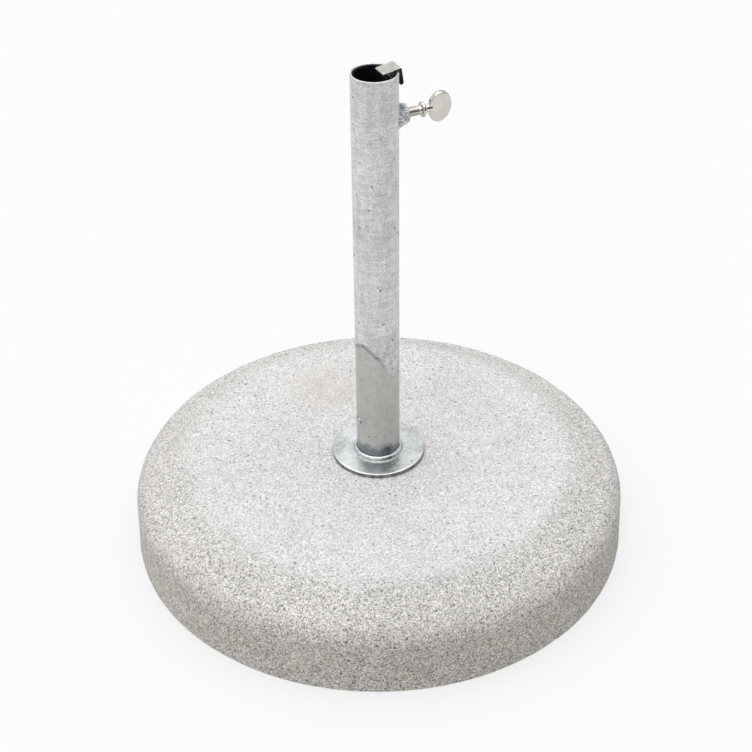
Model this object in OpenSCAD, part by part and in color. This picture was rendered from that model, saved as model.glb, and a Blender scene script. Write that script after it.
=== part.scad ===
// Parasol base: a cast concrete disc with a galvanised standpipe, a cover flange,
// a thumb screw in a welded nut and a sprung clamp strip that hooks over the pipe's rim.
// The origin is the centre of the disc on the floor, +Z is up and the thumb screw points along +X.

/* [Concrete disc] */
// Diameter of the disc at the floor
base_d = 560; // [520:1:600]
// Thickness of the disc at its flat top
base_h = 100; // [92:1:120]
// Diameter of the flat top
plateau_d = 431; // [380:1:440]
// Slope of the shoulder below the flat top, in degrees
shoulder_slope = 22.4; // [18:0.1:26]
// Lean of the side wall towards the axis, in degrees
side_draft = 2.1; // [1:0.1:4]
// Radius between the shoulder and the side wall
corner_r = 30; // [15:1:34]

/* [Standpipe] */
// Outside diameter of the pipe
pipe_d = 48.3; // [48.3:0.1:50]
// Wall thickness of the pipe
pipe_wall = 2; // [1.8:0.1:2.2]
// Height of the pipe's rim above the floor
rim_h = 560; // [480:1:620]
// Diameter of the cover flange
flange_d = 104.6; // [90:0.1:130]
// Thickness of the cover flange
flange_t = 5; // [3:0.5:8]
// Height of the stop pin above the flange
stop_pin_rise = 44; // [30:1:80]
// Diameter of the stop pin
stop_pin_d = 8; // [6:0.5:10]

/* [Liner sleeve] */
// Bore of the sleeve that guides the parasol pole
liner_bore_d = 38.6; // [38.4:0.1:39]

/* [Thumb screw] */
// Distance of the screw's axis below the rim
screw_drop = 49.5; // [46:0.5:54]
// Outside diameter of the thread
thread_d = 10; // [8:1:10]
// Pitch of the thread
thread_pitch = 1.5; // [1.25:0.25:1.5]
// Distance of the oval head's centre from the pipe's axis
head_reach = 71.5; // [69:0.5:76]
// Length of the oval head along the screw
head_l = 25.5; // [22:0.5:27]
// Width of the oval head across the screw
head_w = 34; // [26:0.5:38]
// Thickness of the oval head
head_t = 5.8; // [5:0.1:6.6]
// Turn of the head about the screw at rest, in degrees
head_turn = 8; // [-180:1:180]

/* [Clamp strip] */
// Width of the strip
strip_w = 18.8; // [12:0.1:19]
// Thickness of the strip
strip_t = 0.8; // [0.6:0.1:0.9]

/* [Cast-in anchor] */
// Diameter of the anchor bars
anchor_bar_d = 10; // [8:1:12]
// Length of the anchor bars
anchor_bar_l = 400; // [380:10:440]
// Mean diameter of the reinforcement ring
ring_d = 360; // [300:10:370]
// Thickness of the ring's rod
ring_rod_d = 8; // [6:1:10]

/* [Hidden] */
$fn = 96;

// Concrete
floor_edge_r = 3;
plateau_edge_r = 24;
arc_steps = 8;

// Pipe and flange
pipe_r = pipe_d / 2;
pipe_bore_r = pipe_r - pipe_wall;
pipe_foot_h = 5;
flange_top = base_h + flange_t;
flange_edge_r = 1.2;
flange_weld_w = 4;
flange_weld_h = 4.5;
stop_pin_h = flange_top + stop_pin_rise;
stop_pin_l = pipe_d + 0.8;
plug_weld_r = 5.4;
plug_weld_rise = 1.9;

// Liner
liner_r = pipe_bore_r - 0.05;
liner_bore_r = liner_bore_d / 2;
liner_foot_h = stop_pin_h + stop_pin_d / 2;
liner_top_h = rim_h - 1;
liner_slot_w = strip_w + 1.6;
liner_slot_h = rim_h - 78;
liner_relief = 0.5;

// Weld nut and screw: every distance along the screw is measured from the pipe's axis
screw_h = rim_h - screw_drop;
thread_r = thread_d / 2;
thread_depth = 0.92;
thread_clearance = 0.06;
nut_across_flats = 19;
nut_face = 35;
nut_corner_r = nut_across_flats / 2 / cos(30);
nut_chamfer = 1.6;
nut_weld_w = 3.6;
screw_hole_r = thread_r + 0.5;
tip_dome_r = 5;
tip_r = 3.9;
screw_tip = 19.1;
thread_start = 22.3;
thread_end = 47.8;
plain_r = 4.6;
collar_start = 50.1;
collar_end = 54.5;
collar_r = 8;
collar_clearance = 0.05;
neck_r = 4.1;
head_edge = 0.9;
head_steps = 96;
neck_sink = 4;
screw_end = head_reach - head_l / 2 + neck_sink;

// Clamp strip: the bends of its centre line, as distance from the pipe's axis and height
strip_bends = [
    [24.65, rim_h - 14.2],
    [27.2, rim_h - 12.2],
    [24.7, rim_h + 3.7],
    [5.2, rim_h],
    [16, rim_h - 65],
    [19.1, rim_h - 65],
    [15.5, rim_h - 5.5]
];
strip_bend_r = [0, 1.4, 1.4, 1.4, 1.45, 1.45, 0];
strip_bend_steps = 6;
strip_bead_r = strip_t / 2 + 0.05;

// Anchor
anchor_lower_h = 30;
anchor_upper_h = anchor_lower_h + anchor_bar_d;
anchor_weld_w = 4;
ring_h = anchor_upper_h + anchor_bar_d / 2 + ring_rod_d / 2;
ring_tack_r = 6;
ring_tack_h = 7;

// --- Helpers ---

function unit(v) = v / norm(v);

// Points along the arc that rounds corner b of the path a-b-c with radius r
function corner_arc(a, b, c, r, steps) =
    let (u = unit(a - b), v = unit(c - b))
    let (half = acos(u * v) / 2)
    let (centre = b + unit(u + v) * r / sin(half))
    let (from = b + u * r / tan(half) - centre, to = b + v * r / tan(half) - centre)
    let (start = atan2(from.y, from.x), turn = atan2(to.y, to.x) - start)
    let (sweep = turn > 180 ? turn - 360 : turn < -180 ? turn + 360 : turn)
    [for (i = [0:steps]) centre + r * [cos(start + sweep * i / steps), sin(start + sweep * i / steps)]];

// The path through the given corners, each rounded with its own radius, where 0 keeps it sharp
function rounded_path(corners, radii, steps) = [
    for (i = [0:len(corners) - 1])
        each (radii[i] == 0 ? [corners[i]]
            : corner_arc(corners[i - 1], corners[i], corners[i + 1], radii[i], steps))
];

function left_normal(a, b) = let (d = unit(b - a)) [-d.y, d.x];

// The path moved sideways by a distance, mitred at its points
function shifted_path(path, distance) = [
    for (i = [0:len(path) - 1])
        let (before = left_normal(path[max(i - 1, 0)], path[max(i, 1)]))
        let (after = left_normal(path[min(i, len(path) - 2)], path[min(i + 1, len(path) - 1)]))
        let (mitre = unit(before + after))
        path[i] + mitre * distance / (mitre * before)
];

// Outline of a strip of the given thickness that follows the path
function strip_outline(path, thickness) = concat(
    shifted_path(path, thickness / 2),
    [for (i = [len(path) - 1:-1:0]) shifted_path(path, -thickness / 2)[i]]
);

// Puts a shape that stands on its own Z axis on the screw's axis, with Z pointing away from the pipe
module along_screw() {
    translate([0, 0, screw_h]) rotate([0, 90, 0]) children();
}

// A rod of the given radius along X or Y, centred on the pipe's axis
module cross_rod(r, length, height, turn = 0) {
    translate([0, 0, height]) rotate([0, 90, turn]) cylinder(r = r, h = length, center = true);
}

// The pipe's outside as a solid rod, which cuts the saddle of every piece welded to it
module pipe_rod() {
    cylinder(r = pipe_r, h = rim_h, $fn = 180);
}

// --- Concrete ---

// Half outline of the disc; the sharp corner of shoulder and side is rounded with the others
function disc_outline() =
    let (side_lean = tan(side_draft), fall = tan(shoulder_slope))
    let (corner_h = (base_h - (base_d - plateau_d) / 2 * fall) / (1 - side_lean * fall))
    let (corner_x = base_d / 2 - corner_h * side_lean)
    rounded_path(
        [[0, 0], [base_d / 2, 0], [corner_x, corner_h], [plateau_d / 2, base_h], [0, base_h]],
        [0, floor_edge_r, corner_r, plateau_edge_r, 0],
        arc_steps
    );

module concrete_disc() {
    color([0.78, 0.76, 0.73])
    difference() {
        rotate_extrude($fn = 240) polygon(disc_outline());
        translate([0, 0, -1]) cylinder(r = pipe_r, h = base_h + 2, $fn = 180);
        anchor_space();
    }
}

// Everything that is cast into the concrete beside the pipe
module anchor_space() {
    cross_rod(anchor_bar_d / 2, anchor_bar_l, anchor_lower_h);
    cross_rod(anchor_bar_d / 2, anchor_bar_l, anchor_upper_h, 90);
    anchor_weld_beads();
    ring_rod();
    ring_tack_beads();
}

// --- Standpipe and flange ---

module standpipe() {
    color([0.72, 0.73, 0.74])
    difference() {
        translate([0, 0, pipe_foot_h]) cylinder(r = pipe_r, h = rim_h - pipe_foot_h, $fn = 180);
        translate([0, 0, pipe_foot_h - 1]) cylinder(r = pipe_bore_r, h = rim_h, $fn = 180);
        cross_rod(anchor_bar_d / 2, base_d, anchor_lower_h);
        cross_rod(anchor_bar_d / 2, base_d, anchor_upper_h, 90);
        cross_rod(stop_pin_d / 2, base_d, stop_pin_h);
        along_screw() cylinder(r = screw_hole_r, h = pipe_d);
    }
}

module flange_plate() {
    color([0.75, 0.76, 0.78])
    rotate_extrude($fn = 180)
        polygon(rounded_path(
            [[pipe_r, base_h], [flange_d / 2, base_h], [flange_d / 2, flange_top], [pipe_r, flange_top]],
            [0, 0, flange_edge_r, 0],
            5
        ));
}

// The bead around the pipe's foot, slightly bulging
module flange_weld() {
    bead_points = [for (a = [0:10:90])
        [pipe_r + flange_weld_w * cos(a), flange_top + flange_weld_h * sin(a)]];
    color([0.70, 0.71, 0.73])
    rotate_extrude($fn = 180) polygon(concat([[pipe_r, flange_top]], bead_points));
}

// --- Cast-in anchor ---

module anchor_bar_lower() {
    color([0.36, 0.27, 0.22])
    cross_rod(anchor_bar_d / 2, anchor_bar_l, anchor_lower_h);
}

module anchor_bar_upper() {
    color([0.38, 0.29, 0.23])
    cross_rod(anchor_bar_d / 2, anchor_bar_l, anchor_upper_h, 90);
}

// One cone-shaped bead around each bar where it leaves the pipe
module anchor_weld_beads() {
    difference() {
        for (bar = [[anchor_lower_h, 0], [anchor_upper_h, 90]], end = [0, 180])
            translate([0, 0, bar[0]]) rotate([0, 90, bar[1] + end]) translate([0, 0, pipe_r - 3])
                cylinder(r1 = anchor_bar_d / 2 + anchor_weld_w, r2 = anchor_bar_d / 2 + 0.2, h = 8);
        pipe_rod();
        cross_rod(anchor_bar_d / 2, anchor_bar_l, anchor_lower_h);
        cross_rod(anchor_bar_d / 2, anchor_bar_l, anchor_upper_h, 90);
    }
}

module anchor_welds() {
    color([0.33, 0.30, 0.28]) anchor_weld_beads();
}

module ring_rod() {
    translate([0, 0, ring_h]) rotate_extrude($fn = 180) translate([ring_d / 2, 0]) circle(d = ring_rod_d, $fn = 32);
}

module reinforcement_ring() {
    color([0.40, 0.30, 0.24]) ring_rod();
}

// A tack of weld in each crotch where the ring lies on the ends of the upper bar
module ring_tack_beads() {
    difference() {
        for (side = [-1, 1])
            translate([0, side * ring_d / 2, ring_h - ring_rod_d / 2 - ring_tack_h / 2])
                cylinder(r = ring_tack_r, h = ring_tack_h);
        ring_rod();
        cross_rod(anchor_bar_d / 2, anchor_bar_l, anchor_upper_h, 90);
    }
}

module ring_tacks() {
    color([0.33, 0.30, 0.28]) ring_tack_beads();
}

// --- Stop pin ---

module stop_pin() {
    color([0.62, 0.63, 0.65])
    cross_rod(stop_pin_d / 2, stop_pin_l, stop_pin_h);
}

// A low dome of weld over each end of the stop pin
module stop_pin_welds() {
    dome = [for (a = [0:15:90]) [plug_weld_r * cos(a), pipe_r + plug_weld_rise * sin(a)]];
    color([0.60, 0.61, 0.62])
    difference() {
        for (end = [0, 180])
            rotate([0, 0, end]) translate([0, 0, stop_pin_h]) rotate([0, 90, 0])
                rotate_extrude($fn = 64) polygon(concat([[0, pipe_r - 2], [plug_weld_r, pipe_r - 2]], dome));
        pipe_rod();
        cross_rod(stop_pin_d / 2, stop_pin_l, stop_pin_h);
    }
}

// --- Liner sleeve ---

// Its mouth, from the foot of the strip's slot up, is relieved so that only the bore below guides the pole
module liner_sleeve() {
    color([0.04, 0.04, 0.045])
    difference() {
        translate([0, 0, liner_foot_h])
            cylinder(r = liner_r, h = liner_top_h - liner_foot_h, $fn = 180);
        translate([0, 0, liner_foot_h - 1])
            cylinder(r = liner_bore_r, h = liner_top_h - liner_foot_h + 2, $fn = 180);
        translate([0, 0, liner_slot_h])
            cylinder(r = liner_bore_r + liner_relief, h = rim_h - liner_slot_h, $fn = 180);
        translate([0, -liner_slot_w / 2, liner_slot_h])
            cube([pipe_d, liner_slot_w, rim_h - liner_slot_h]);
    }
}

// --- Weld nut ---

module nut_hexagon() {
    along_screw() cylinder(r = nut_corner_r, h = nut_face, $fn = 6);
}

module weld_nut() {
    color([0.70, 0.71, 0.72])
    difference() {
        intersection() {
            nut_hexagon();
            along_screw() union() {
                cylinder(r = nut_corner_r + 1, h = nut_face - nut_chamfer);
                translate([0, 0, nut_face - nut_chamfer])
                    cylinder(r1 = nut_corner_r + 0.4, r2 = nut_corner_r - 2.2, h = nut_chamfer);
            }
        }
        pipe_rod();
        along_screw() cylinder(r = thread_r + thread_clearance, h = nut_face + 1);
    }
}

// The fillet of weld around the nut, cut to the pipe's curve
module nut_weld() {
    color([0.66, 0.67, 0.68])
    difference() {
        along_screw() translate([0, 0, pipe_r - 8])
            cylinder(r1 = nut_corner_r + nut_weld_w + 2.8, r2 = nut_corner_r - 0.3, h = 16);
        pipe_rod();
        nut_hexagon();
    }
}

// --- Thumb screw ---

// Outline of the shank from its domed tip to the end inside the head
function shank_outline() = concat(
    [for (a = [0:6:51]) [tip_dome_r * sin(a), screw_tip + tip_dome_r * (1 - cos(a))]],
    [[tip_r, thread_start - 0.6]],
    [for (z = [thread_start:thread_pitch:thread_end - thread_pitch]) each [
        [thread_r - thread_depth, z],
        [thread_r, z + thread_pitch * 0.44],
        [thread_r, z + thread_pitch * 0.56]
    ]],
    [
        [thread_r - thread_depth, thread_end], [plain_r, thread_end + 0.6],
        [plain_r, collar_end + 0.4], [neck_r, collar_end + 1.4],
        [neck_r, screw_end], [0, screw_end]
    ]
);

module screw_shank() {
    color([0.80, 0.77, 0.73])
    along_screw() rotate_extrude($fn = 72) polygon(shank_outline());
}

// The round bead that stops against the nut
module shoulder_collar() {
    half_w = (collar_end - collar_start) / 2;
    bore_r = plain_r + collar_clearance;
    rim = [for (a = [-80:16:80]) [collar_r - half_w + half_w * cos(a), half_w * (1 + sin(a))]];
    color([0.80, 0.77, 0.73])
    along_screw() translate([0, 0, collar_start])
        rotate_extrude($fn = 72) polygon(concat([[bore_r, 0]], rim, [[bore_r, 2 * half_w]]));
}

// An oval plate in the XY plane, with its length along X, drawn in from the head's outline by a margin
module oval_plate(margin, thickness) {
    linear_extrude(height = thickness, center = true)
        polygon([for (i = [0:head_steps - 1])
            let (a = 360 * i / head_steps)
            [(head_l / 2 - margin) * cos(a), (head_w / 2 - margin) * sin(a)]]);
}

// The oval head with eased rims; the screw's axis lies in its middle plane
module thumb_disc() {
    color([0.82, 0.80, 0.77])
    difference() {
        translate([head_reach, 0, screw_h]) rotate([90 + head_turn, 0, 0])
            hull() {
                oval_plate(0, head_t - 2 * head_edge);
                oval_plate(head_edge, head_t);
            }
        along_screw() cylinder(r = neck_r, h = screw_end);
    }
}

// --- Clamp strip ---

// The lip's turned-in end is beaded, and the strip rocks on this bead against the pipe's outside
module clamp_strip() {
    color([0.70, 0.69, 0.67])
    rotate([90, 0, 0]) {
        linear_extrude(height = strip_w, center = true)
            polygon(strip_outline(rounded_path(strip_bends, strip_bend_r, strip_bend_steps), strip_t));
        translate(strip_bends[0]) cylinder(r = strip_bead_r, h = strip_w, center = true);
    }
}

concrete_disc();
standpipe();
flange_plate();
flange_weld();
anchor_bar_lower();
anchor_bar_upper();
anchor_welds();
reinforcement_ring();
ring_tacks();
stop_pin();
stop_pin_welds();
liner_sleeve();
weld_nut();
nut_weld();
shoulder_collar();
screw_shank();
thumb_disc();
clamp_strip();
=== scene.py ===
"""Looks of the parasol base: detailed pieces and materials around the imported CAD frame."""

import math
import random

import bmesh
import bpy
import numpy as np
from mathutils import Matrix, Vector, noise


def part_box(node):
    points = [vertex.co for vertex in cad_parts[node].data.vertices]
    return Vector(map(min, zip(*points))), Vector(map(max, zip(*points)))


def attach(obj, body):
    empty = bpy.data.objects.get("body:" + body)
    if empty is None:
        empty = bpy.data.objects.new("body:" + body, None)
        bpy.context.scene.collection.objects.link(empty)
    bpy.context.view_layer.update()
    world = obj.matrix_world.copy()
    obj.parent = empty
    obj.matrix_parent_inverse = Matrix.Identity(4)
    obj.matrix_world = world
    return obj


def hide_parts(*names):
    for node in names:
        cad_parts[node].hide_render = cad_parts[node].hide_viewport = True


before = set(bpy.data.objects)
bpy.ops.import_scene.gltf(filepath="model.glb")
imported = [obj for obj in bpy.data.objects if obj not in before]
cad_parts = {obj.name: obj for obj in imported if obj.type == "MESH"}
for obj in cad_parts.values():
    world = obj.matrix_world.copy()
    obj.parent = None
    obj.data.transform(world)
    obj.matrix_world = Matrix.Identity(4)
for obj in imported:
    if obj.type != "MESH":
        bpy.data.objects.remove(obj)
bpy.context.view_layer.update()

TAU = 2 * math.pi
# Turn of the viewer around the disc: the thumb screw points right and 25 degrees away from them
VIEW_TURN = math.radians(-25)

# ---------------------------------------------------------------- sizes, from the frame

DISC_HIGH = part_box("concrete_disc")[1]
PIPE_LOW, PIPE_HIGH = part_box("standpipe")
FLANGE_LOW, FLANGE_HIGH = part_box("flange_plate")
FLANGE_WELD_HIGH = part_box("flange_weld")[1]
LINER_LOW, LINER_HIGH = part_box("liner_sleeve")
LINER_BORE_R = 0.0193
LINER_MOUTH_RELIEF = 0.0005
LINER_SLOT_DEPTH = 0.078
SLOT_CLEARANCE = 0.0016
PIN_LOW, PIN_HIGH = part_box("stop_pin")
SHANK_LOW, SHANK_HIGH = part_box("screw_shank")
COLLAR_LOW, COLLAR_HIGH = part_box("shoulder_collar")
HEAD_LOW, HEAD_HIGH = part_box("thumb_disc")
NUT_LOW, NUT_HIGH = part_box("weld_nut")
STRIP_LOW, STRIP_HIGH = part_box("clamp_strip")

DISC_TOP = DISC_HIGH.z
PLATEAU_R = 0.2155
SHOULDER_SLOPE = math.radians(22.4)
SIDE_DRAFT = math.radians(2.1)
CORNER_R = 0.030
FOOT_R = 0.280
FLOOR_EDGE_R = 0.003
PLATEAU_EDGE_R = 0.024

PIPE_R = PIPE_HIGH.x
PIPE_WALL = 0.002
PIPE_BORE_R = PIPE_R - PIPE_WALL
RIM_Z = PIPE_HIGH.z
FLANGE_R = FLANGE_HIGH.x
FLANGE_TOP = FLANGE_HIGH.z
PIN_Z = (PIN_LOW.z + PIN_HIGH.z) / 2
PIN_R = (PIN_HIGH.z - PIN_LOW.z) / 2
BAR_R = 0.005
BAR_LOW_Z, BAR_HIGH_Z = 0.030, 0.040

SCREW_Z = (SHANK_LOW.z + SHANK_HIGH.z) / 2
THREAD_R = (SHANK_HIGH.z - SHANK_LOW.z) / 2
THREAD_PITCH = 0.0015
THREAD_DEPTH = 0.00092
THREAD_START, THREAD_END = SHANK_LOW.x + 0.0032, COLLAR_LOW.x - 0.0023
TIP_DOME_R = 0.005
PLAIN_R = 0.0046
NECK_R = 0.0041
SCREW_HOLE_R = THREAD_R + 0.0005

HEAD_L = HEAD_HIGH.x - HEAD_LOW.x
HEAD_X = (HEAD_HIGH.x + HEAD_LOW.x) / 2
HEAD_W = 0.034
HEAD_T = 0.0058
HEAD_TURN = math.radians(8)

NUT_FLATS = NUT_HIGH.y - NUT_LOW.y
NUT_FACE = NUT_HIGH.x

STRIP_W = STRIP_HIGH.y - STRIP_LOW.y
STRIP_T = 0.0008
# Bends of the strip's centre line: distance from the pipe's axis, height above the rim, bend radius
STRIP_BENDS = [
    (0.02465, -0.0142, 0),
    (0.0272, -0.0122, 0.0014),
    (0.0247, 0.0037, 0.0014),
    (0.0052, 0, 0.0014),
    (0.016, -0.065, 0.00145),
    (0.0191, -0.065, 0.00145),
    (0.0155, -0.0055, 0),
]

# ---------------------------------------------------------------- mesh helpers


def new_object(name, vertices, faces, smooth_angle=35):
    mesh = bpy.data.meshes.new(name)
    mesh.from_pydata([tuple(v) for v in vertices], [], faces)
    mesh.validate()
    obj = bpy.data.objects.new(name, mesh)
    bpy.context.scene.collection.objects.link(obj)
    face_outwards(obj)
    smooth(obj, smooth_angle)
    return obj


def face_outwards(obj):
    work = bmesh.new()
    work.from_mesh(obj.data)
    bmesh.ops.recalc_face_normals(work, faces=work.faces)
    work.to_mesh(obj.data)
    work.free()


def smooth(obj, angle=35):
    obj.data.shade_smooth()
    obj.data.set_sharp_from_angle(angle=math.radians(angle))


def apply_modifiers(obj):
    graph = bpy.context.evaluated_depsgraph_get()
    mesh = bpy.data.meshes.new_from_object(obj.evaluated_get(graph))
    obj.modifiers.clear()
    obj.data = mesh


def boolean(obj, cutter, operation="DIFFERENCE"):
    modifier = obj.modifiers.new("cut", "BOOLEAN")
    modifier.operation = operation
    modifier.solver = "EXACT"
    modifier.object = cutter
    apply_modifiers(obj)
    bpy.data.objects.remove(cutter)


def ring_faces(row, after, segments):
    """Four-sided faces between two rings of vertices."""
    faces = []
    for i in range(segments):
        j = (i + 1) % segments
        faces.append((row * segments + i, row * segments + j, after * segments + j, after * segments + i))
    return faces


def end_faces(rows, segments):
    """The flat faces that close the first and the last ring."""
    last = (rows - 1) * segments
    return [tuple(range(segments)), tuple(last + i for i in range(segments))]


def lathe(name, outline, segments=128, shift=None, smooth_angle=35):
    """A closed outline of (radius, height) points turned about Z; shift moves each vertex."""
    rows = len(outline)
    vertices = []
    for radius, height in outline:
        for i in range(segments):
            angle = TAU * i / segments
            point = Vector((radius * math.cos(angle), radius * math.sin(angle), height))
            vertices.append(shift(point, angle) if shift else point)
    faces = []
    for row in range(rows):
        faces += ring_faces(row, (row + 1) % rows, segments)
    obj = new_object(name, vertices, faces, smooth_angle)
    weld_close(obj)
    return obj


def weld_close(obj, distance=1e-6):
    """Joins the vertices of a lathe's outline points that lie on its axis."""
    work = bmesh.new()
    work.from_mesh(obj.data)
    bmesh.ops.remove_doubles(work, verts=work.verts, dist=distance)
    bmesh.ops.dissolve_degenerate(work, edges=work.edges, dist=distance)
    bmesh.ops.recalc_face_normals(work, faces=work.faces)
    work.to_mesh(obj.data)
    work.free()


def bake_transform(obj, matrix):
    obj.data.transform(matrix)
    if matrix.determinant() < 0:
        obj.data.flip_normals()


def along_screw(offset=0):
    """Takes a shape standing on Z to the screw's axis, with its Z pointing away from the pipe."""
    return Matrix.Translation((offset, 0, SCREW_Z)) @ Matrix.Rotation(math.radians(90), 4, "Y")


def rod(name, radius, start, end, sides=48):
    """A plain round cutter from start to end."""
    start, end = Vector(start), Vector(end)
    work = bmesh.new()
    bmesh.ops.create_cone(
        work, cap_ends=True, segments=sides, radius1=radius, radius2=radius, depth=(end - start).length
    )
    mesh = bpy.data.meshes.new(name)
    work.to_mesh(mesh)
    work.free()
    obj = bpy.data.objects.new(name, mesh)
    bpy.context.scene.collection.objects.link(obj)
    turn = (end - start).to_track_quat("Z", "Y").to_matrix().to_4x4()
    bake_transform(obj, Matrix.Translation((start + end) / 2) @ turn)
    return obj


def block(low, high):
    """A plain box cutter between two corners."""
    low, high = Vector(low), Vector(high)
    work = bmesh.new()
    bmesh.ops.create_cube(work, size=1)
    mesh = bpy.data.meshes.new("block")
    work.to_mesh(mesh)
    work.free()
    obj = bpy.data.objects.new("block", mesh)
    bpy.context.scene.collection.objects.link(obj)
    bake_transform(obj, Matrix.Translation((low + high) / 2) @ Matrix.Diagonal((*(high - low), 1)))
    return obj


def rounded_outline(corners, steps=6):
    """Points of a path whose corners (x, y, radius) are rounded; radius 0 keeps a corner sharp."""
    points = []
    for i, (x, y, radius) in enumerate(corners):
        here = Vector((x, y))
        if radius == 0:
            points.append(here)
            continue
        back = (Vector(corners[i - 1][:2]) - here).normalized()
        ahead = (Vector(corners[(i + 1) % len(corners)][:2]) - here).normalized()
        half = back.angle(ahead) / 2
        centre = here + (back + ahead).normalized() * radius / math.sin(half)
        start = here + back * radius / math.tan(half) - centre
        end = here + ahead * radius / math.tan(half) - centre
        sweep = start.angle_signed(end)
        for k in range(steps + 1):
            turned = Matrix.Rotation(-sweep * k / steps, 2) @ start
            points.append(centre + turned)
    return points


def wobble(point, scale, seed=0):
    return noise.noise(point * scale + Vector((seed, seed * 0.7, -seed)))


# ---------------------------------------------------------------- material helpers


class Shader:
    """A small builder for procedural materials. Textures use object space, which is the frame's."""

    def __init__(self, name):
        self.material = bpy.data.materials.new(name)
        self.material.use_nodes = True
        self.tree = self.material.node_tree
        self.surface = self.tree.nodes["Principled BSDF"]
        self.coords = self.tree.nodes.new("ShaderNodeTexCoord").outputs["Object"]

    def node(self, kind, **settings):
        made = self.tree.nodes.new(kind)
        for name, value in settings.items():
            setattr(made, name, value)
        return made

    def feed(self, socket, value):
        if isinstance(value, bpy.types.NodeSocket):
            self.tree.links.new(value, socket)
        elif isinstance(value, (tuple, list)) and len(value) == 3 and len(socket.default_value) == 4:
            socket.default_value = (*value, 1)
        else:
            socket.default_value = value

    def math(self, operation, a, b=0.0, c=0.0, clamp=False):
        made = self.node("ShaderNodeMath", operation=operation, use_clamp=clamp)
        for socket, value in zip(made.inputs, (a, b, c)):
            self.feed(socket, value)
        return made.outputs[0]

    def scaled(self, factors, vector=None):
        made = self.node("ShaderNodeVectorMath", operation="MULTIPLY")
        self.feed(made.inputs[0], vector or self.coords)
        made.inputs[1].default_value = factors
        return made.outputs[0]

    def noise(self, scale, detail=3, roughness=0.55, vector=None, distortion=0.0):
        made = self.node("ShaderNodeTexNoise")
        self.feed(made.inputs["Vector"], vector or self.coords)
        made.inputs["Scale"].default_value = scale
        made.inputs["Detail"].default_value = detail
        made.inputs["Roughness"].default_value = roughness
        made.inputs["Distortion"].default_value = distortion
        return made.outputs["Fac"]

    def cells(self, scale, vector=None):
        """Voronoi cells: (distance to the cell's point, a random value for each cell)."""
        made = self.node("ShaderNodeTexVoronoi")
        self.feed(made.inputs["Vector"], vector or self.coords)
        made.inputs["Scale"].default_value = scale
        parts = self.node("ShaderNodeSeparateColor")
        self.feed(parts.inputs[0], made.outputs["Color"])
        return made.outputs["Distance"], parts.outputs[0]

    def ramp(self, value, low, high, at_low=0.0, at_high=1.0):
        made = self.node("ShaderNodeMapRange", interpolation_type="SMOOTHSTEP")
        self.feed(made.inputs["Value"], value)
        self.feed(made.inputs["From Min"], low)
        self.feed(made.inputs["From Max"], high)
        self.feed(made.inputs["To Min"], at_low)
        self.feed(made.inputs["To Max"], at_high)
        return made.outputs[0]

    def mix(self, factor, a, b, blend="MIX"):
        made = self.node("ShaderNodeMix", data_type="RGBA", blend_type=blend)
        self.feed(made.inputs[0], factor)
        self.feed(made.inputs[6], a)
        self.feed(made.inputs[7], b)
        return made.outputs[2]

    def bright(self, colour, factor):
        """A colour times a number."""
        made = self.node("ShaderNodeVectorMath", operation="SCALE")
        self.feed(made.inputs[0], colour)
        self.feed(made.inputs["Scale"], factor)
        return made.outputs[0]

    def place(self):
        """(x, y, z, distance from the pipe's axis)"""
        parts = self.node("ShaderNodeSeparateXYZ")
        self.feed(parts.inputs[0], self.coords)
        flat = self.node("ShaderNodeVectorMath", operation="LENGTH")
        self.feed(flat.inputs[0], self.scaled((1, 1, 0)))
        return (*parts.outputs, flat.outputs["Value"])

    def leftness(self, x, y):
        """How far to the viewer's left of the pipe's axis a point lies, in metres."""
        sideways = self.math("MULTIPLY", x, -math.cos(VIEW_TURN))
        return self.math("ADD", sideways, self.math("MULTIPLY", y, math.sin(VIEW_TURN)))

    def blend(self, factor, a, b):
        """A number between a and b."""
        made = self.node("ShaderNodeMix", data_type="FLOAT")
        for socket, value in zip(made.inputs[:1] + made.inputs[2:4], (factor, a, b)):
            self.feed(socket, value)
        return made.outputs[0]

    def bump(self, height, strength, distance, under=None):
        made = self.node("ShaderNodeBump")
        made.inputs["Strength"].default_value = strength
        made.inputs["Distance"].default_value = distance
        self.feed(made.inputs["Height"], height)
        if under is not None:
            self.feed(made.inputs["Normal"], under)
        return made.outputs[0]

    def finish(self, colour, roughness, metallic=0.0, normal=None, specular=0.5):
        self.feed(self.surface.inputs["Base Color"], colour)
        self.feed(self.surface.inputs["Roughness"], roughness)
        self.surface.inputs["Metallic"].default_value = metallic
        self.surface.inputs["Specular IOR Level"].default_value = specular
        if normal is not None:
            self.feed(self.surface.inputs["Normal"], normal)
        return self.material


# ---------------------------------------------------------------- materials


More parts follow.
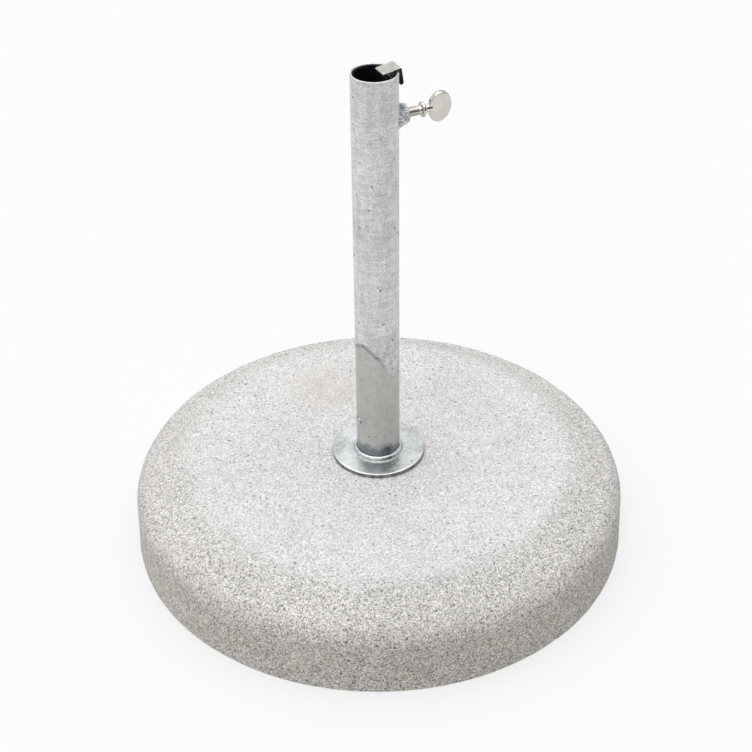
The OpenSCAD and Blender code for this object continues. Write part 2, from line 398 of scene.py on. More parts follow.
def concrete_material():
    s = Shader("concrete")
    x, y, z, radius = s.place()
    ragged = s.math("MULTIPLY_ADD", s.noise(120, 3), 0.010, -0.005)
    shoulder = s.ramp(s.math("ADD", radius, ragged), PLATEAU_R - 0.018, PLATEAU_R + 0.030)
    side = s.ramp(s.math("ADD", z, ragged), 0.086, 0.048)

    # tone: a neutral flat top, a slightly warmer shoulder and a browner side, with broad clouds
    tone = s.mix(shoulder, (0.560, 0.554, 0.545), (0.512, 0.496, 0.483))
    tone = s.mix(side, tone, (0.462, 0.435, 0.407))
    tone = s.bright(tone, s.ramp(s.noise(9, 4), 0.3, 0.7, 0.965, 1.03))
    tone = s.bright(tone, s.ramp(s.noise(60, 4), 0.3, 0.7, 0.97, 1.025))

    # grain: a random shade for each sand grain, stronger where the surface is washed
    washed = s.ramp(shoulder, 0, 1, 0.92, 1.40)
    contrast = s.math("ADD", washed, s.math("MULTIPLY", side, 0.25))
    _, sand = s.cells(780)
    _, fine = s.cells(1300)
    grain = s.math("ADD", s.math("MULTIPLY", sand, 0.55), s.math("MULTIPLY", fine, 0.45))
    grain = s.math("MULTIPLY", s.math("SUBTRACT", grain, 0.5), contrast)
    tone = s.bright(tone, s.math("ADD", grain, 1.0))

    # dark grains, denser on the washed shoulder and side
    share = s.ramp(shoulder, 0, 1, 0.040, 0.080)
    _, dark = s.cells(900)
    dark = s.math("LESS_THAN", dark, share)
    tone = s.bright(tone, s.math("MULTIPLY_ADD", dark, -0.62, 1.0))
    _, coarse = s.cells(480)
    coarse = s.math("LESS_THAN", coarse, s.math("MULTIPLY", share, 0.16))
    tone = s.bright(tone, s.math("MULTIPLY_ADD", coarse, -0.55, 1.0))

    # open pores: dented by the bump, and darkened with painted shade inside them
    away, pick = s.cells(150)
    pore = s.math("MULTIPLY", s.ramp(away, 0.10, 0.18, 1, 0), s.ramp(pick, 0.022, 0.026, 1, 0))
    tone = s.mix(pore, tone, (0.07, 0.066, 0.062))

    # a faint pink stain on the flat top and a few rusty grains along the foot
    stain_x = s.ramp(s.math("ABSOLUTE", s.math("ADD", x, 0.002)), 0.015, 0.060, 1, 0)
    stain_y = s.ramp(s.math("ABSOLUTE", s.math("SUBTRACT", y, 0.138)), 0.015, 0.060, 1, 0)
    stain = s.math("MULTIPLY", s.math("MULTIPLY", stain_x, stain_y), s.ramp(s.noise(60, 3), 0.3, 0.6))
    tone = s.mix(s.math("MULTIPLY", stain, 0.6), tone, (0.47, 0.42, 0.40))
    _, rusty = s.cells(210, s.scaled((1, 1, 1.7)))
    rusty = s.math("MULTIPLY", s.math("LESS_THAN", rusty, 0.02), side)
    tone = s.mix(s.math("MULTIPLY", rusty, 0.35), tone, (0.34, 0.24, 0.14))

    height = s.math("ADD", s.math("MULTIPLY", sand, 0.7), s.math("MULTIPLY", s.noise(420, 4), 0.8))
    height = s.math("SUBTRACT", height, s.math("MULTIPLY", pore, 2.0))
    normal = s.bump(height, 0.4, 0.0007)
    return s.finish(tone, s.ramp(fine, 0, 1, 0.82, 0.95), normal=normal, specular=0.25)


def galvanised_material(name, pipe=False, tint=1.0):
    """Mottled grey zinc. The pipe has a smoother dipped foot and a glossy band above the flange whose dark
    colour is a painted reflection.
    """
    s = Shader(name)
    x, y, z, _ = s.place()
    cloudy = s.noise(17, 4, 0.6)
    mottle = s.noise(130, 5, 0.65, distortion=0.5)
    rings = s.noise(100, 4, 0.65, s.scaled((0.5, 0.5, 5.0)))
    runs = s.noise(80, 3, 0.6, s.scaled((2.2, 2.2, 0.3)))
    grain = s.noise(900, 2, 0.6)
    if pipe:
        # the dip line hangs lowest in the middle of the viewer's side
        left = s.leftness(x, y)
        rise = s.math("MULTIPLY", s.math("ABSOLUTE", left), 1.5)
        wave = s.math("MULTIPLY_ADD", s.noise(28, 4), 0.030, -0.015)
        depth = s.math("SUBTRACT", s.math("ADD", z, wave), rise)
        lower = s.ramp(depth, 0.226, 0.204)
        streak = s.math("MULTIPLY", s.ramp(depth, 0.2105, 0.2145), s.ramp(depth, 0.2155, 0.2205, 1, 0))
        streak = s.math("MULTIPLY", streak, s.ramp(left, 0.010, 0.019))
        foot_wave = s.math("MULTIPLY_ADD", s.noise(60, 4), 0.030, -0.015)
        foot = s.ramp(s.math("ADD", z, foot_wave), FLANGE_TOP + 0.022, FLANGE_TOP + 0.011)
    else:
        lower = foot = streak = 0.0
    shade = 1.0
    for part, change in ((cloudy, 0.07), (mottle, 0.09), (rings, 0.09), (runs, 0.06), (grain, 0.22)):
        shade = s.math("MULTIPLY", shade, s.ramp(part, 0.38, 0.62, 1 - change, 1 + change * 0.8))
    marks = s.noise(120, 5, 0.7, s.scaled((1.3, 1.3, 0.6)), 0.6)
    marks = s.math("MULTIPLY", s.ramp(marks, 0.60, 0.66), s.ramp(cloudy, 0.62, 0.44, 0.25, 1))
    shade = s.math("MULTIPLY", shade, s.math("MULTIPLY_ADD", marks, -0.34, 1.02))
    calm = s.math("MULTIPLY_ADD", s.math("SUBTRACT", shade, 1.0), 0.55, 1.0)
    shade = s.blend(lower, shade, calm)
    tone = s.mix(lower, (0.640, 0.653, 0.653), (0.515, 0.523, 0.501))
    # painted reflection: the glossy band just above the flange gets a dark blue-grey colour that stands in
    # for the flange and weld it mirrors
    tone = s.mix(foot, tone, (0.21, 0.225, 0.245))
    tone = s.mix(s.math("MULTIPLY", streak, 0.6), tone, (0.17, 0.175, 0.18))
    tone = s.bright(tone, s.math("MULTIPLY", shade, tint))
    _, speck = s.cells(300)
    speck = s.math("MULTIPLY", s.math("LESS_THAN", speck, 0.012), s.ramp(mottle, 0.4, 0.6))
    tone = s.mix(s.math("MULTIPLY", speck, 0.7), tone, (0.10, 0.10, 0.11))
    rough = s.ramp(mottle, 0.3, 0.7, 0.40, 0.56)
    rough = s.math("SUBTRACT", rough, s.math("MULTIPLY", foot, 0.26))
    normal = s.bump(mottle, 0.25, 0.0004)
    normal = s.bump(s.noise(30, 2), 0.3, 0.001, normal)
    return s.finish(tone, rough, 0.65, normal)


def zinc_plate_material(name="zinc_plate"):
    """Glossy zinc; the flange's side is duller than its face, and darker: partly its own dull zinc, partly
    painted shade under the flange's edge.
    """
    s = Shader(name)
    x, y, z, radius = s.place()
    cloudy = s.noise(38, 4, 0.6)
    fine = s.noise(260, 3, 0.6)
    tone = s.mix(s.ramp(cloudy, 0.35, 0.65), (0.60, 0.625, 0.635), (0.74, 0.76, 0.765))
    tone = s.bright(tone, s.ramp(fine, 0.35, 0.65, 0.90, 1.05))
    # the flange's side band: its dark colour is partly dull zinc and partly painted shade; its higher
    # roughness is real
    rim = s.ramp(radius, FLANGE_R - 0.0006, FLANGE_R - 0.0001)
    rim = s.math("MULTIPLY", rim, s.ramp(z, FLANGE_TOP - 0.0004, FLANGE_TOP - 0.0016))
    tone = s.mix(rim, tone, s.bright((0.25, 0.26, 0.26), s.ramp(fine, 0.35, 0.65, 0.6, 1.4)))
    away, pick = s.cells(230)
    left = s.leftness(x, y)
    pick_low = s.math("MULTIPLY", s.ramp(left, 0.024, 0.038), s.ramp(radius, 0.036, 0.044))
    pick_low = s.math("MULTIPLY_ADD", pick_low, 0.16, 0.006)
    speck = s.math("MULTIPLY", s.ramp(away, 0.20, 0.30, 1, 0), s.math("LESS_THAN", pick, pick_low))
    tone = s.mix(speck, tone, (0.03, 0.03, 0.035))
    rough = s.ramp(cloudy, 0.35, 0.65, 0.16, 0.32)
    rough = s.math("ADD", rough, s.math("MULTIPLY", rim, 0.2))
    normal = s.bump(s.noise(45, 3), 0.35, 0.0011)
    normal = s.bump(fine, 0.12, 0.0002, normal)
    return s.finish(tone, rough, 0.92, normal)


def zinc_weld_material(name, dark):
    s = Shader(name)
    lumps = s.noise(240, 4, 0.6)
    tone = s.mix(s.ramp(lumps, 0.40, 0.60), dark, (0.66, 0.67, 0.68))
    rough = s.ramp(lumps, 0.3, 0.7, 0.22, 0.45)
    normal = s.bump(lumps, 0.5, 0.0007)
    return s.finish(tone, rough, 0.9, normal)


def nickel_material():
    s = Shader("nickel_plate")
    faint = s.noise(55, 3)
    tone = s.mix(s.ramp(faint, 0.35, 0.65), (0.59, 0.555, 0.52), (0.64, 0.61, 0.575))
    rough = s.ramp(s.noise(120, 3), 0.3, 0.7, 0.08, 0.14)
    normal = s.bump(s.noise(160, 3), 0.08, 0.0004)
    return s.finish(tone, rough, 1.0, normal)


def spring_top_material():
    """Brushed strip steel; the brush lines run along the strip."""
    s = Shader("spring_steel")
    lines = s.noise(900, 3, 0.6, s.scaled((0.12, 1.0, 0.12)))
    broad = s.noise(120, 2)
    tone = s.mix(s.ramp(lines, 0.35, 0.65), (0.42, 0.405, 0.375), (0.60, 0.58, 0.545))
    tone = s.bright(tone, s.ramp(broad, 0.3, 0.7, 0.92, 1.06))
    normal = s.bump(lines, 0.25, 0.0002)
    return s.finish(tone, s.ramp(broad, 0.3, 0.7, 0.36, 0.46), 0.8, normal)


def spring_back_material():
    """The strip's dark side: every face except the plate's top, the lip's outside and the free leaf's inner
    side.
    """
    s = Shader("spring_steel_dark_side")
    broad = s.noise(140, 3)
    tone = s.mix(s.ramp(broad, 0.35, 0.65), (0.030, 0.030, 0.034), (0.055, 0.054, 0.058))
    normal = s.bump(s.noise(700, 2), 0.15, 0.0002)
    return s.finish(tone, s.ramp(broad, 0.3, 0.7, 0.38, 0.5), 0.8, normal)


def black_plastic_material():
    s = Shader("black_plastic")
    fine = s.noise(900, 2)
    tone = s.mix(s.ramp(fine, 0.3, 0.7), (0.004, 0.004, 0.005), (0.008, 0.008, 0.009))
    normal = s.bump(fine, 0.2, 0.0002)
    return s.finish(tone, s.ramp(fine, 0.3, 0.7, 0.6, 0.75), 0.0, normal, 0.06)


def rebar_material():
    s = Shader("rebar")
    flakes = s.noise(180, 5, 0.65)
    tone = s.mix(s.ramp(flakes, 0.4, 0.6), (0.11, 0.085, 0.075), (0.27, 0.13, 0.07))
    normal = s.bump(flakes, 0.5, 0.0006)
    return s.finish(tone, s.ramp(flakes, 0.3, 0.7, 0.6, 0.85), 0.4, normal)


def bare_weld_material():
    s = Shader("bare_weld")
    lumps = s.noise(260, 4, 0.6)
    tone = s.mix(s.ramp(lumps, 0.4, 0.6), (0.10, 0.10, 0.105), (0.22, 0.19, 0.17))
    normal = s.bump(lumps, 0.5, 0.0007)
    return s.finish(tone, s.ramp(lumps, 0.3, 0.7, 0.4, 0.65), 0.8, normal)


CONCRETE = concrete_material()
PIPE_ZINC = galvanised_material("galvanised_pipe", pipe=True)
# the nut's zinc is darkened overall: partly duller zinc, partly painted shade of its junction with the pipe
NUT_ZINC = galvanised_material("zinc_nut", tint=0.62)
ZINC_PLATE = zinc_plate_material()
# the nut weld's dark patches: partly duller zinc, partly painted shade where the nut meets the pipe; the
# stop pin's welds share this material
NUT_WELD = zinc_weld_material("zinc_weld", (0.22, 0.23, 0.24))
FLANGE_WELD = zinc_weld_material("zinc_weld_smooth", (0.50, 0.51, 0.52))
NICKEL = nickel_material()
SPRING_TOP = spring_top_material()
SPRING_BACK = spring_back_material()
BLACK_PLASTIC = black_plastic_material()
REBAR = rebar_material()
BARE_WELD = bare_weld_material()


def dress(obj, material, body, node):
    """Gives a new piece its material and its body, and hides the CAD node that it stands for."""
    obj.data.materials.clear()
    obj.data.materials.append(material)
    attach(obj, body)
    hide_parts(node)


def repaint(node, material):
    """Gives a CAD node that stays visible a better material."""
    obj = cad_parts[node]
    obj.data.materials.clear()
    obj.data.materials.append(material)


# ---------------------------------------------------------------- concrete disc


def disc_outline():
    """Half outline of the disc from the pipe along the underside, up the side and back to the pipe."""
    lean, fall = math.tan(SIDE_DRAFT), math.tan(SHOULDER_SLOPE)
    corner_z = (DISC_TOP - (FOOT_R - PLATEAU_R) * fall) / (1 - lean * fall)
    corner_x = FOOT_R - corner_z * lean
    corners = [
        (PIPE_R, 0, 0),
        (FOOT_R, 0, FLOOR_EDGE_R),
        (corner_x, corner_z, CORNER_R),
        (PLATEAU_R, DISC_TOP, PLATEAU_EDGE_R),
        (PIPE_R, DISC_TOP, 0),
    ]
    return rounded_outline(corners, 10)


def resampled(points, step):
    """The same path with extra points, so that no step is longer than the one given."""
    out = []
    for a, b in zip(points, points[1:]):
        count = max(1, math.ceil((b - a).length / step))
        out += [a.lerp(b, k / count) for k in range(count)]
    return out + [points[-1]]


def make_concrete():
    rng = random.Random(11)
    # each chip: its angle, height, radius and depth
    ranges = ((0, TAU), (0.004, 0.012), (0.004, 0.011), (0.0006, 0.0018))
    chips = [[rng.uniform(low, high) for low, high in ranges] for _ in range(26)]

    def shift(point, angle):
        radius = math.hypot(point.x, point.y)
        if radius < PIPE_R + 0.012:
            return point
        outward = Vector((point.x / radius, point.y / radius, 0))
        on_side = radius > 0.262 and point.z < 0.085
        direction = outward if on_side else Vector((0, 0, 1))
        if not on_side and point.z < 0.05:
            return point
        amount = 0.00035 * wobble(point, 22, 3) + 0.00022 * wobble(point, 75, 9)
        amount += 0.00016 * wobble(point, 210, 5) - 0.0004
        if on_side:
            for chip_angle, chip_z, chip_r, depth in chips:
                along = math.remainder(angle - chip_angle, TAU) * radius
                away = math.hypot(along, (point.z - chip_z) * 1.4) / chip_r
                if away < 1:
                    amount -= depth * (1 - away * away) * (0.8 + 0.4 * wobble(point, 300, 2))
        return point + direction * amount

    outline = resampled(disc_outline(), 0.0028)
    outline[-1] = Vector((PIPE_R, DISC_TOP))
    obj = lathe("concrete_block", outline, 640, shift, 40)
    dress(obj, CONCRETE, "base", "concrete_disc")


# ---------------------------------------------------------------- pipe, flange and pin


def make_pipe():
    edge = 0.0006
    corners = [
        (PIPE_R, PIPE_LOW.z, edge),
        (PIPE_R, RIM_Z, edge),
        (PIPE_BORE_R, RIM_Z, edge),
        (PIPE_BORE_R, PIPE_LOW.z, edge),
    ]
    outline = rounded_outline(corners, 4)
    long_part = [Vector((PIPE_R, z)) for z in np.linspace(PIPE_LOW.z + 0.01, RIM_Z - 0.006, 70)]
    outline = outline[:5] + long_part + outline[5:]

    def shift(point, angle):
        radius = math.hypot(point.x, point.y)
        if radius < PIPE_R - 1e-5 or point.z < FLANGE_TOP + 0.01:
            return point
        swell = 0.00006 * wobble(point, 35, 4) + 0.00004 * wobble(point, 110, 8) - 0.00008
        return point * 1.0 + Vector((point.x, point.y, 0)) / radius * swell

    obj = lathe("pipe", outline, 160, shift)
    reach = PIPE_R + 0.01
    boolean(obj, rod("cut", SCREW_HOLE_R, (0, 0, SCREW_Z), (reach, 0, SCREW_Z)))
    boolean(obj, rod("cut", PIN_R, (-reach, 0, PIN_Z), (reach, 0, PIN_Z)))
    boolean(obj, rod("cut", BAR_R, (-reach, 0, BAR_LOW_Z), (reach, 0, BAR_LOW_Z)))
    boolean(obj, rod("cut", BAR_R, (0, -reach, BAR_HIGH_Z), (0, reach, BAR_HIGH_Z)))
    smooth(obj)
    dress(obj, PIPE_ZINC, "base", "standpipe")


def make_flange():
    corners = [
        (PIPE_R, FLANGE_LOW.z, 0),
        (FLANGE_R, FLANGE_LOW.z, 0.0006),
        (FLANGE_R, FLANGE_TOP, 0.0014),
        (PIPE_R, FLANGE_TOP, 0),
    ]
    outline = resampled(rounded_outline(corners, 6), 0.003)

    def shift(point, angle):
        radius = math.hypot(point.x, point.y)
        if point.z < FLANGE_TOP - 0.0016 or radius < PIPE_R + 0.001:
            return point
        return point + Vector((0, 0, 0.00012 * wobble(point, 40, 6) - 0.00014))

    obj = lathe("flange", outline, 180, shift, 30)
    dress(obj, ZINC_PLATE, "base", "flange_plate")


def make_flange_weld():
    """A rolled bead: ripples round it and a shallow groove where it meets the pipe."""
    width = FLANGE_WELD_HIGH.x - PIPE_R
    height = FLANGE_WELD_HIGH.z - FLANGE_TOP
    outline = [Vector((PIPE_R, FLANGE_TOP))]
    for turn in range(0, 73, 9):
        a = math.radians(turn)
        rise = height * 0.97 * math.sin(a) ** 0.8
        outline.append(Vector((PIPE_R + width * math.cos(a), FLANGE_TOP + rise)))
    outline.append(Vector((PIPE_R + 0.0006, FLANGE_TOP + height * 0.88)))
    outline.append(Vector((PIPE_R, FLANGE_TOP + height * 0.70)))

    def shift(point, angle):
        radius = math.hypot(point.x, point.y)
        if radius < PIPE_R + 0.0002 or point.z < FLANGE_TOP + 1e-5:
            return point
        ripple = 0.00003 * math.sin(angle * 62 + 3 * math.sin(angle * 3)) + 0.0004 * wobble(point, 50, 3)
        out = Vector((point.x, point.y, 0)) / radius
        return point + out * (ripple - 0.0004) + Vector((0, 0, ripple * 0.8 - 0.0002))

    obj = lathe("flange_bead", outline, 360, shift, 60)
    dress(obj, FLANGE_WELD, "base", "flange_weld")


def make_pin_welds():
    """A lumpy plug of weld over each end of the stop pin."""
    radius, rise = 0.0054, 0.0018
    arc = [math.radians(a) for a in range(0, 91, 10)]
    outline = [Vector((0, PIPE_R - 0.002)), Vector((radius, PIPE_R - 0.002))]
    outline += [Vector((radius * math.cos(a), PIPE_R + rise * math.sin(a))) for a in arc]

    def shift(point, angle):
        if point.z < PIPE_R + 0.0001:
            return point
        lump = 0.0004 * wobble(point, 420, 4) - 0.0002
        ring = -0.0005 * math.exp(-((math.hypot(point.x, point.y) - 0.0028) / 0.0008) ** 2)
        return point + Vector((0, 0, lump + ring))

    domes = []
    for end in (0, 180):
        dome = lathe("dome", outline, 48, shift, 60)
        turn = Matrix.Rotation(math.radians(end), 4, "Z") @ Matrix.Translation((0, 0, PIN_Z))
        bake_transform(dome, turn @ Matrix.Rotation(math.radians(90), 4, "Y"))
        boolean(dome, rod("cut", PIPE_R - 0.0001, (0, 0, PIN_Z - 0.02), (0, 0, PIN_Z + 0.02), 160))
        domes.append(dome)
    obj = joined("pin_welds", domes)
    dress(obj, NUT_WELD, "base", "stop_pin_welds")


def joined(name, objects):
    work = bmesh.new()
    for part in objects:
        work.from_mesh(part.data)
    mesh = bpy.data.meshes.new(name)
    work.to_mesh(mesh)
    work.free()
    for part in objects:
        bpy.data.objects.remove(part)
    obj = bpy.data.objects.new(name, mesh)
    bpy.context.scene.collection.objects.link(obj)
    smooth(obj)
    return obj


# ---------------------------------------------------------------- the nut's weld


def hexagon(length, grow=0.0):
    work = bmesh.new()
    across = (NUT_FLATS / 2 + grow) / math.cos(math.radians(30))
    bmesh.ops.create_cone(work, cap_ends=True, segments=6, radius1=across, radius2=across, depth=length)
    mesh = bpy.data.meshes.new("hexagon")
    work.to_mesh(mesh)
    work.free()
    obj = bpy.data.objects.new("hexagon", mesh)
    bpy.context.scene.collection.objects.link(obj)
    # a corner of the hexagon points up
    corner_up = Matrix.Rotation(math.atan2(mesh.vertices[0].co.y, mesh.vertices[0].co.x) * -1, 4, "Z")
    bake_transform(obj, along_screw() @ Matrix.Translation((0, 0, length / 2)) @ corner_up)
    return obj


def make_nut_weld():
    across = NUT_FLATS / 2 / math.cos(math.radians(30))
    rows = []
    for k in range(9):
        part = k / 8
        # a lumpy fillet from wide at the pipe to the nut's corners
        radius = across + 0.0062 * (1 - part) ** 1.15 + 0.0002 * part
        rows.append(Vector((radius, PIPE_R - 0.0075 + 0.0152 * part)))
    outline = [Vector((0, rows[0].y))] + rows + [Vector((0, rows[-1].y))]

    def shift(point, angle):
        radius = math.hypot(point.x, point.y)
        if radius < 0.002:
            return point
        lump = 0.0009 * wobble(point, 190, 7) + 0.00025 * math.sin(angle * 26) - 0.0007
        return point + Vector((point.x, point.y, 0)) / radius * lump

    obj = lathe("nut_bead", outline, 144, shift, 60)
    bake_transform(obj, along_screw())
    boolean(obj, rod("cut", PIPE_R - 0.0001, (0, 0, SCREW_Z - 0.03), (0, 0, SCREW_Z + 0.03), 160))
    boolean(obj, hexagon(NUT_FACE, 0.00002))
    smooth(obj, 50)
    dress(obj, NUT_WELD, "base", "nut_weld")


# ---------------------------------------------------------------- thumb screw


def thread_radius(along, angle):
    """Radius of the right-hand helical thread, flat at its crest and root."""
    phase = (along / THREAD_PITCH + angle / TAU) % 1
    tooth = min(1, max(0, (abs(phase - 0.5) * 2 - 0.12) / 0.74))
    return THREAD_R - THREAD_DEPTH * tooth


def make_shank():
    segments = 64
    rows = []
    tip = SHANK_LOW.x
    for a in range(0, 52, 6):
        turn = math.radians(a)
        rows.append((tip + TIP_DOME_R * (1 - math.cos(turn)), TIP_DOME_R * math.sin(turn), 0))
    steps = int((THREAD_END - THREAD_START) / THREAD_PITCH * 12)
    for k in range(steps + 1):
        along = THREAD_START + (THREAD_END - THREAD_START) * k / steps
        runout = min(1, k / 10, (steps - k) / 14)
        rows.append((along, THREAD_R - THREAD_DEPTH, runout))
    rows.append((THREAD_END + 0.0006, PLAIN_R, 0))
    rows.append((COLLAR_HIGH.x + 0.0004, PLAIN_R, 0))
    rows.append((COLLAR_HIGH.x + 0.0014, NECK_R, 0))
    rows.append((HEAD_LOW.x - 0.0022, NECK_R - 0.0002, 0))
    rows.append((SHANK_HIGH.x - 0.0002, NECK_R - 0.0002, 0))
    vertices, faces = [], []
    for along, radius, threaded in rows:
        for i in range(segments):
            angle = TAU * i / segments
            r = radius
            if threaded:
                r += (thread_radius(along, angle) - radius) * threaded
            vertices.append((along, r * math.cos(angle), SCREW_Z + r * math.sin(angle)))
    for row in range(len(rows) - 1):
        faces += ring_faces(row, row + 1, segments)
    faces += end_faces(len(rows), segments)
    obj = new_object("threaded_shank", vertices, faces, 50)
    weld_close(obj)
    smooth(obj, 50)
    dress(obj, NICKEL, "thumb_screw", "screw_shank")


def make_collar():
    half = (COLLAR_HIGH.x - COLLAR_LOW.x) / 2
    outer = COLLAR_HIGH.y
    bore = PLAIN_R + 0.00005
    outline = [Vector((bore, 0.0006)), Vector((bore + 0.0009, 0.00005))]
    for a in range(-80, 81, 10):
        turn = math.radians(a)
        outline.append(Vector((outer - half + half * math.cos(turn), half * (1 + math.sin(turn)))))
    outline += [Vector((bore + 0.0009, 2 * half - 0.00005)), Vector((bore, 2 * half - 0.0006))]
    obj = lathe("collar", outline, 96, None, 40)
    bake_transform(obj, along_screw(COLLAR_LOW.x))
    dress(obj, NICKEL, "screw_carriage", "shoulder_collar")


def oval_slab(name, levels, segments=144):
    """Stacked ovals, one for each (inset, height), with their length along X and their width along Y."""
    vertices = []
    for inset, height in levels:
        for i in range(segments):
            angle = TAU * i / segments
            x = (HEAD_L / 2 - inset) * math.cos(angle)
            vertices.append((x, (HEAD_W / 2 - inset) * math.sin(angle), height))
    faces = []
    for row in range(len(levels) - 1):
        faces += ring_faces(row, row + 1, segments)
    faces += end_faces(len(levels), segments)
    return new_object(name, vertices, faces, 24)


def make_head():
    """The oval head: eased rims and a flared root where the neck enters."""
    half, edge = HEAD_T / 2, 0.0010
    arc = [math.radians(a) for a in range(0, 91, 15)]
    lower = [(edge * (1 - math.sin(a)), -half + edge * (1 - math.cos(a))) for a in arc]
    levels = lower + [(inset, -height) for inset, height in reversed(lower)]
    head = oval_slab("head", levels)
    upright = Matrix.Rotation(math.radians(90) + HEAD_TURN, 4, "X")
    bake_transform(head, Matrix.Translation((HEAD_X, 0, SCREW_Z)) @ upright)
    edge_x = HEAD_X - HEAD_L / 2
    flare = [Vector((0, edge_x - 0.0012))]
    for k in range(9):
        part = k / 8
        flare.append(Vector((NECK_R - 0.0001 + 0.0030 * part ** 2, edge_x - 0.0012 + 0.0050 * part)))
    flare.append(Vector((0, flare[-1].y)))
    root = lathe("root", flare, 64, None, 60)
    bake_transform(root, along_screw())
    to_axis = Matrix.Translation((0, 0, SCREW_Z)) @ Matrix.Rotation(HEAD_TURN, 4, "X")
    bake_transform(root, to_axis @ Matrix.Diagonal((1, 0.40, 1, 1)) @ to_axis.inverted())
    boolean(head, root, "UNION")
    boolean(head, rod("cut", NECK_R - 0.00018, (edge_x - 0.004, 0, SCREW_Z), (SHANK_HIGH.x, 0, SCREW_Z), 64))
    head.name = "thumb_head"
    smooth(head, 24)
    dress(head, NICKEL, "thumb_screw", "thumb_disc")


# ---------------------------------------------------------------- clamp strip


def make_strip():
    corners = [(x, RIM_Z + z, radius) for x, z, radius in STRIP_BENDS]
    path = resampled(rounded_outline(corners, 6), 0.004)
    edge = 0.00022
    half_w, half_t = STRIP_W / 2, STRIP_T / 2
    # cross-section: across the strip and through its thickness, with rounded edges
    section = [
        (-half_w + edge, half_t), (half_w - edge, half_t),
        (half_w, half_t - edge), (half_w, -half_t + edge),
        (half_w - edge, -half_t), (-half_w + edge, -half_t),
        (-half_w, -half_t + edge), (-half_w, half_t - edge),
    ]
    vertices, faces = [], []
    for i, here in enumerate(path):
        before = (here - path[i - 1]).normalized() if i else (path[1] - here).normalized()
        after = (path[i + 1] - here).normalized() if i + 1 < len(path) else before
        along = (before + after).normalized()
        normal = Vector((-along.y, along.x)) / max(0.5, along.dot(before))
        for across, through in section:
            flat = here + normal * through
            vertices.append((flat.x, across, flat.y))
    count = len(section)
    for i in range(len(path) - 1):
        faces += ring_faces(i, i + 1, count)
    faces += end_faces(len(path), count)
    obj = new_object("spring_strip", vertices, faces, 30)
    dress(obj, SPRING_TOP, "clamp", "clamp_strip")
    obj.data.materials.append(SPRING_BACK)
    # brushed and bright: the plate, the lip's outside, and the free leaf's inner side with its cut end;
    # dark: the rest
    for face in obj.data.polygons:
        x, drop = face.center.x, RIM_Z - face.center.z
        on_plate = drop < 0.001 and face.normal.z > 0.5
        outer_lip = x > 0.0245 and face.normal.x > 0.5
        on_leaf = x > 0.0125 + drop * 0.07 and x < 0.021 and drop > 0.004
        leaf_side = on_leaf and (face.normal.x < -0.5 or face.normal.z > 0.5)
        face.material_index = 0 if on_plate or outer_lip or leaf_side else 1


# ---------------------------------------------------------------- liner


def make_liner():
    """The black sleeve, with a wider mouth from the foot of its slot up."""
    slot_z = RIM_Z - LINER_SLOT_DEPTH
    mouth_r = LINER_BORE_R + LINER_MOUTH_RELIEF
    outer, edge = LINER_HIGH.y, 0.0005
    corners = [
        (outer, LINER_LOW.z, edge),
        (outer, LINER_HIGH.z, edge),
        (mouth_r, LINER_HIGH.z, edge),
        (mouth_r, slot_z, 0),
        (LINER_BORE_R, slot_z, 0),
        (LINER_BORE_R, LINER_LOW.z, edge),
    ]
    obj = lathe("liner", resampled(rounded_outline(corners, 4), 0.05), 128, None, 35)
    slot_w = STRIP_W + SLOT_CLEARANCE
    boolean(obj, block((0, -slot_w / 2, slot_z), (0.03, slot_w / 2, RIM_Z + 0.02)))
    smooth(obj)
    dress(obj, BLACK_PLASTIC, "base", "liner_sleeve")


# ---------------------------------------------------------------- build

make_concrete()
make_pipe()
make_flange()
make_flange_weld()
make_pin_welds()
make_nut_weld()
make_shank()
make_collar()
make_head()
make_strip()
make_liner()

for bar in ("anchor_bar_lower", "anchor_bar_upper", "reinforcement_ring"):
    repaint(bar, REBAR)
for bead in ("anchor_welds", "ring_tacks"):
    repaint(bead, BARE_WELD)
repaint("stop_pin", ZINC_PLATE)
repaint("weld_nut", NUT_ZINC)

# ---------------------------------------------------------------- floor, light and camera

# The floor's own glow and grey, the sky's strength at mid height and overhead, its change to the left,
# and what the camera sees behind everything
FLOOR_GLOW, FLOOR_TONE = 0.69, 0.20
SKY_LOW, SKY_HIGH = 0.82, 2.55
SKY_LEFT = 0.18
BACKDROP = 0.97

# The camera: distance and height in metres, sideways shift, downward tilt and roll in radians, lens in mm
CAMERA_REACH = 1.3627
CAMERA_HEIGHT = 1.1526
CAMERA_SIDE = -0.0018
CAMERA_DOWN = 0.609
CAMERA_ROLL = 0.012
CAMERA_LENS = 72.09


def make_floor():
    size = 9
    mesh = bpy.data.meshes.new("floor")
    corners = [(-size, -size, 0), (size, -size, 0), (size, size, 0), (-size, size, 0)]
    mesh.from_pydata(corners, [], [(0, 1, 2, 3)])
    floor = bpy.data.objects.new("floor", mesh)
    bpy.context.scene.collection.objects.link(floor)
    s = Shader("floor")
    s.surface.inputs["Emission Color"].default_value = (1, 1, 1, 1)
    s.surface.inputs["Emission Strength"].default_value = FLOOR_GLOW
    floor.data.materials.append(s.finish((FLOOR_TONE, FLOOR_TONE, FLOOR_TONE), 0.9, specular=0.0))


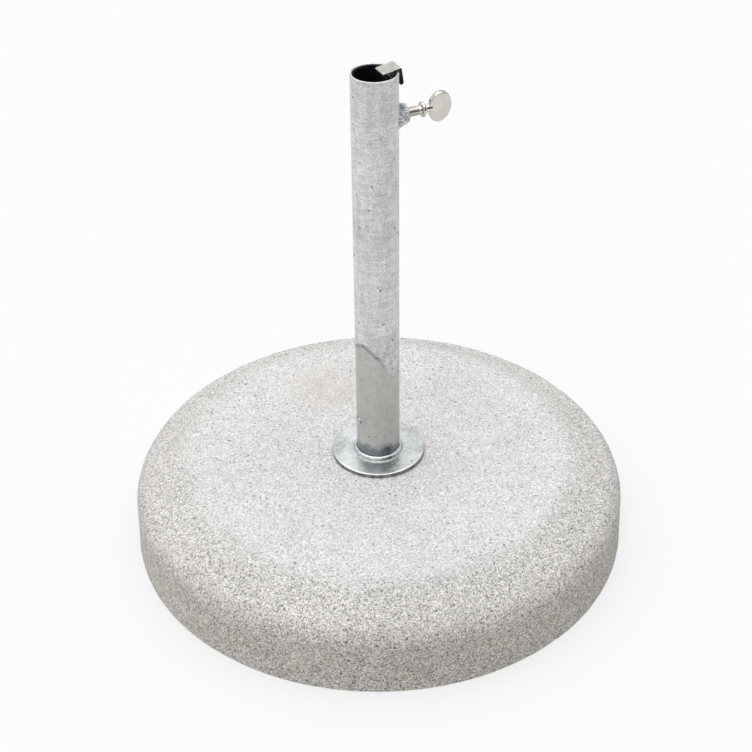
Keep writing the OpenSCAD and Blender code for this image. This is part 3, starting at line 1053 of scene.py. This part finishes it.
def make_world():
    """A soft studio: a bright ceiling, dimmer walls, a dark screen on the right in front.

    There is more light on the left, and the walls darken towards the floor.
    """
    world = bpy.data.worlds.new("studio")
    bpy.context.scene.world = world
    world.use_nodes = True
    tree = world.node_tree

    def calc(operation, a, b=0.0):
        made = tree.nodes.new("ShaderNodeMath")
        made.operation = operation
        for socket, value in zip(made.inputs, (a, b)):
            if isinstance(value, bpy.types.NodeSocket):
                tree.links.new(value, socket)
            else:
                socket.default_value = value
        return made.outputs[0]

    def along(direction, vector):
        made = tree.nodes.new("ShaderNodeVectorMath")
        made.operation = "DOT_PRODUCT"
        tree.links.new(direction, made.inputs[0])
        made.inputs[1].default_value = vector
        return made.outputs["Value"]

    def step(value, low, high, at_low=0.0, at_high=1.0):
        made = tree.nodes.new("ShaderNodeMapRange")
        made.interpolation_type = "SMOOTHSTEP"
        tree.links.new(value, made.inputs["Value"])
        for name, number in zip(("From Min", "From Max", "To Min", "To Max"), (low, high, at_low, at_high)):
            made.inputs[name].default_value = number
        return made.outputs[0]

    direction = tree.nodes.new("ShaderNodeTexCoord").outputs["Generated"]
    turn = Matrix.Rotation(VIEW_TURN, 3, "Z")
    up = along(direction, (0, 0, 1))
    left = along(direction, turn @ Vector((-1, 0, 0)))
    right_front = along(direction, turn @ Vector((0.66, -0.66, 0.28)).normalized())
    sky = step(up, 0.60, 0.95, SKY_LOW, SKY_HIGH)
    sky = calc("MULTIPLY", sky, calc("ADD", 1.0, calc("MULTIPLY", left, SKY_LEFT)))
    screen = step(right_front, 0.80, 0.90)
    level = calc("MULTIPLY", sky, calc("SUBTRACT", 1.0, calc("MULTIPLY", screen, 0.985)))
    level = calc("MULTIPLY", level, step(up, 0.0, 0.16, 0.12, 1.0))
    # the camera sees a plain pale backdrop; only reflections and light see the studio's walls
    seen = tree.nodes.new("ShaderNodeLightPath").outputs["Is Camera Ray"]
    level = calc("MULTIPLY", level, calc("SUBTRACT", 1.0, seen))
    level = calc("ADD", level, calc("MULTIPLY", seen, BACKDROP))
    tree.links.new(level, tree.nodes["Background"].inputs["Strength"])
    tree.nodes["Background"].inputs["Color"].default_value = (1, 1, 1, 1)


def make_camera():
    data = bpy.data.cameras.new("camera")
    data.lens = CAMERA_LENS
    data.sensor_width = 36
    data.clip_start, data.clip_end = 0.05, 50
    camera = bpy.data.objects.new("camera", data)
    bpy.context.scene.collection.objects.link(camera)
    place = Matrix.Translation((CAMERA_SIDE, -CAMERA_REACH, CAMERA_HEIGHT))
    tilt = Matrix.Rotation(math.pi / 2 - CAMERA_DOWN, 4, "X")
    roll = Matrix.Rotation(-CAMERA_ROLL, 4, "Z")
    camera.matrix_world = Matrix.Rotation(VIEW_TURN, 4, "Z") @ place @ tilt @ roll
    bpy.context.scene.camera = camera


make_floor()
make_world()
make_camera()
bpy.context.scene.view_settings.view_transform = "Standard"
